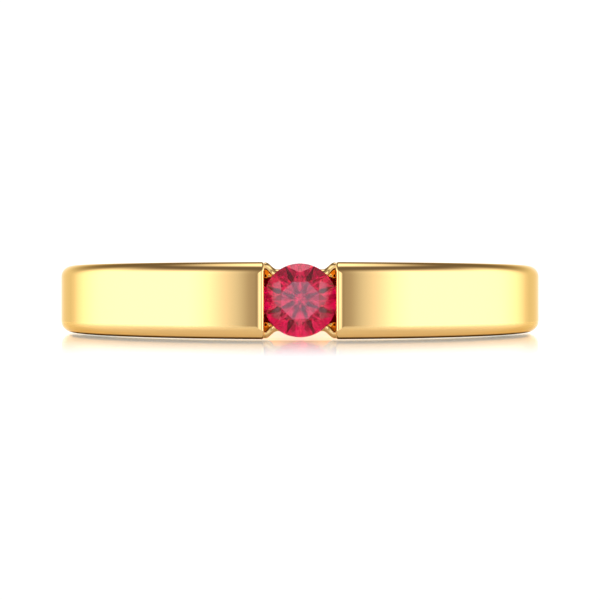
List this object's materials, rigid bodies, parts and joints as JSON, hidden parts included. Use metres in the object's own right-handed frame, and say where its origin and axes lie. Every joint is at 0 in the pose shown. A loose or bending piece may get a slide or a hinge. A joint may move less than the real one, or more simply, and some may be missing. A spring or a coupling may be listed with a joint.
{
  "type": "ruby engagement ring",
  "caption": "Finger ring: a flat polished gold band whose two ends hold a round brilliant ruby over an open-backed bridge.",
  "frame": {"origin": "middle of the band's outer circle, on the surface that the ring lies on", "axes": "+Z along the finger hole, up from the surface; the stone faces -Y"},
  "size_m": [0.0216, 0.0215, 0.0029],
  "materials": {
    "gold": "polished yellow gold",
    "ruby": "polished facets, clear deep red"
  },
  "bodies": {
    "root": {"band": "gold", "ruby": "ruby"}
  },
  "joints": []
}
